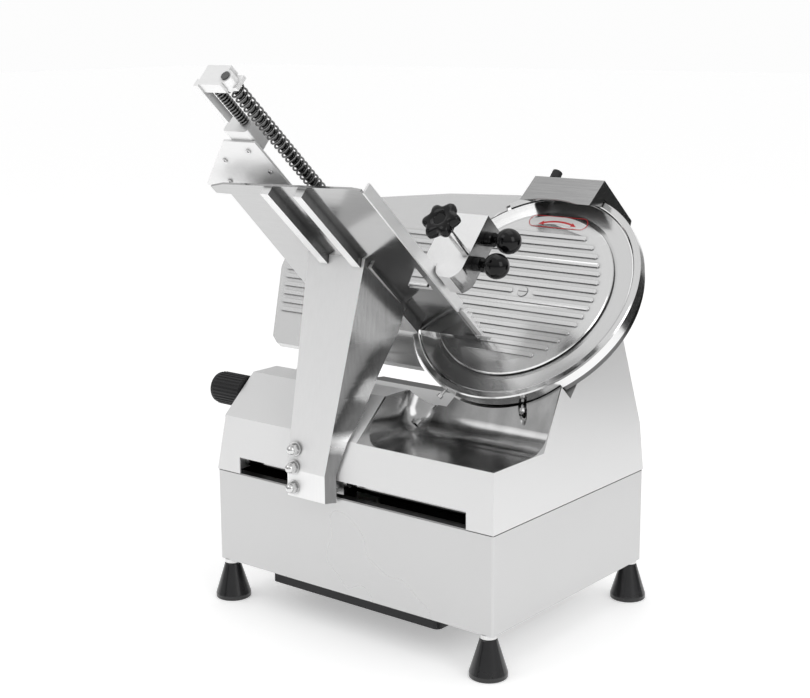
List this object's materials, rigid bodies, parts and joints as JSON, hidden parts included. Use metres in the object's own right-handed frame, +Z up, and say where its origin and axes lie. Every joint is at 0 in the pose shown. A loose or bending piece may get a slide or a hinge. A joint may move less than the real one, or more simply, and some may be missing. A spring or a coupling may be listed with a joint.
{
  "type": "deli meat slicer",
  "caption": "Gravity-feed meat slicer: tilted round blade with a ribbed cover, ribbed gauge plate, sloping sliding table with spring pusher and clamp, sharpener hood and boxy casing on feet.",
  "frame": {"origin": "on the floor, at the centre of the front right foot's lower face", "axes": "+Z up, +X along the carriage's travel from the thickness knob's end to the blade's end, +Y from the carriage side to the side where slices fall"},
  "size_m": [0.5964, 0.5527, 0.7267],
  "materials": {
    "satin_white": "satin cast and anodised casing",
    "anodised": "anodised satin aluminium",
    "polished": "polished stainless steel",
    "blade_steel": "ground and polished blade steel",
    "bolt_steel": "bright steel fastener",
    "black_plastic": "moulded black plastic",
    "gloss_black": "glossy black phenolic",
    "black_rubber": "moulded rubber",
    "dark_paint": "black painted steel",
    "label_white": "printed badge",
    "stone": "bonded abrasive",
    "board_green": "circuit board",
    "belt_rubber": "ribbed belt",
    "start_green": "push button",
    "stop_red": "push button",
    "spring_steel": "oiled spring steel"
  },
  "bodies": {
    "casing": {"lower_housing": "satin_white", "upper_housing": "satin_white", "bottom_pan": "dark_paint", "casing_screws": "bolt_steel", "rubber_feet": "black_rubber", "foot_studs": "bolt_steel", "blade_housing": "anodised", "shaft_bearings": "bolt_steel", "ring_guard": "polished", "blade_cover": "anodised", "rotation_label": "label_white", "blade_motor": "dark_paint", "blade_belt": "belt_rubber", "gauge_guide": "bolt_steel", "guide_shaft": "polished", "guide_bar": "bolt_steel", "shaft_blocks": "anodised", "gearmotor": "dark_paint", "drive_belt": "belt_rubber", "control_board": "board_green", "switch_panel": "black_plastic", "cable_gland": "black_plastic"},
    "blade_rotor": {"blade": "blade_steel", "blade_hub": "anodised", "blade_shaft": "bolt_steel", "blade_screws": "bolt_steel"},
    "motor_pulley": {"motor_pulley": "anodised"},
    "tie_rod": {"cover_tie_rod": "bolt_steel"},
    "carriage": {"carriage_block": "anodised", "shaft_bushes": "bolt_steel", "carriage_bracket": "bolt_steel", "carriage_arm": "anodised", "carriage_fasteners": "bolt_steel", "meat_table": "polished", "table_wall": "anodised", "table_rails": "anodised", "serrated_strip": "anodised", "pusher_rod": "polished", "rod_bracket": "anodised", "pusher_spring": "spring_steel"},
    "pusher": {"pusher_top_block": "anodised", "pusher_stem": "black_plastic", "pusher_hub": "anodised", "pusher_plate": "anodised"},
    "clamp": {"clamp_block": "anodised"},
    "star_knob": {"star_knob": "gloss_black"},
    "upper_lever": {"upper_ball_lever": "gloss_black"},
    "lower_lever": {"lower_ball_lever": "gloss_black"},
    "gauge": {"gauge_plate": "anodised", "gauge_bracket": "anodised"},
    "thickness_knob": {"thickness_knob": "black_plastic"},
    "sharpener": {"sharpener_hood": "polished", "sharpener_body": "anodised"},
    "hood_knob": {"hood_knob": "black_plastic"},
    "grinding_stone": {"grinding_stone": "stone"},
    "deburring_stone": {"deburring_stone": "stone"},
    "drive_pulley": {"drive_pulley": "anodised"},
    "idler_pulley": {"idler_pulley": "anodised"},
    "start_button": {"start_button": "start_green"},
    "stop_button": {"stop_button": "stop_red"}
  },
  "joints": [
    {"name": "blade_spin", "type": "hinge", "parent": "casing", "child": "blade_rotor", "pos_m": [-0.095, 0.206, 0.431], "axis": [0, -0.7373, 0.6756], "continuous": true},
    {"name": "motor_pulley_spin", "type": "hinge", "parent": "casing", "child": "motor_pulley", "pos_m": [-0.075, 0.14182, 0.36096], "axis": [0, -0.7373, 0.6756], "continuous": true},
    {"name": "tie_rod_turn", "type": "hinge", "parent": "casing", "child": "tie_rod", "pos_m": [-0.095, 0.206, 0.431], "axis": [0, -0.7373, 0.6756], "range_deg": [-720, 0]},
    {"name": "carriage_slide", "type": "slide", "parent": "casing", "child": "carriage", "axis": [1, 0, 0], "range_m": [-0.085, 0.205]},
    {"name": "drive_pulley_spin", "type": "hinge", "parent": "casing", "child": "drive_pulley", "pos_m": [-0.366, 0.124, 0.147], "axis": [0, 0, 1], "range_deg": [-220, 520]},
    {"name": "idler_pulley_spin", "type": "hinge", "parent": "casing", "child": "idler_pulley", "pos_m": [-0.066, 0.124, 0.147], "axis": [0, 0, 1], "range_deg": [-220, 520]},
    {"name": "pusher_slide", "type": "slide", "parent": "carriage", "child": "pusher", "axis": [0, 0.7373, -0.6756], "range_m": [0, 0.238], "stiffness_N_per_m": 100, "springref_m": -0.1, "deforming": ["pusher_spring"]},
    {"name": "clamp_slide", "type": "slide", "parent": "carriage", "child": "clamp", "axis": [0, -0.7373, 0.6756], "range_m": [-0.035, 0.15]},
    {"name": "star_knob_turn", "type": "hinge", "parent": "clamp", "child": "star_knob", "pos_m": [-0.087, 0.02722, 0.53785], "axis": [0, -0.7373, 0.6756], "range_deg": [-180, 180]},
    {"name": "upper_lever_turn", "type": "hinge", "parent": "clamp", "child": "upper_lever", "pos_m": [-0.082, 0.10831, 0.51238], "axis": [1, 0, 0], "range_deg": [-180, 180]},
    {"name": "lower_lever_turn", "type": "hinge", "parent": "clamp", "child": "lower_lever", "pos_m": [-0.082, 0.08332, 0.4851], "axis": [1, 0, 0], "range_deg": [-180, 180]},
    {"name": "gauge_slide", "type": "slide", "parent": "casing", "child": "gauge", "axis": [0, -0.7373, 0.6756], "range_m": [-0.009, 0.005]},
    {"name": "thickness_knob_turn", "type": "hinge", "parent": "casing", "child": "thickness_knob", "pos_m": [-0.446, 0.039, 0.281], "axis": [1, 0, 0], "range_deg": [-200, 115]},
    {"name": "sharpener_lift", "type": "slide", "parent": "casing", "child": "sharpener", "axis": [0, 0.6756, 0.7373], "range_m": [0, 0.018]},
    {"name": "hood_knob_turn", "type": "hinge", "parent": "sharpener", "child": "hood_knob", "pos_m": [-0.122, 0.32023, 0.57047], "axis": [0, 0.6756, 0.7373], "range_deg": [-180, 180]},
    {"name": "grinding_stone_spin", "type": "hinge", "parent": "sharpener", "child": "grinding_stone", "pos_m": [-0.12, 0.34611, 0.49657], "axis": [0, -0.7373, 0.6756], "continuous": true},
    {"name": "deburring_stone_spin", "type": "hinge", "parent": "sharpener", "child": "deburring_stone", "pos_m": [-0.064, 0.34611, 0.49657], "axis": [0, -0.7373, 0.6756], "continuous": true},
    {"name": "start_press", "type": "slide", "parent": "casing", "child": "start_button", "axis": [1, 0, 0], "range_m": [0, 0.003], "stiffness_N_per_m": 300, "springref_m": -0.002},
    {"name": "stop_press", "type": "slide", "parent": "casing", "child": "stop_button", "axis": [1, 0, 0], "range_m": [0, 0.003], "stiffness_N_per_m": 300, "springref_m": -0.002}
  ],
  "couplings": [
    {"joint": "motor_pulley_spin", "follows": "blade_spin", "ratio": 2.7},
    {"joint": "drive_pulley_spin", "follows": "carriage_slide", "rad_per_m": 42.283},
    {"joint": "idler_pulley_spin", "follows": "carriage_slide", "rad_per_m": 42.283},
    {"joint": "thickness_knob_turn", "follows": "gauge_slide", "rad_per_m": 384.6}
  ]
}
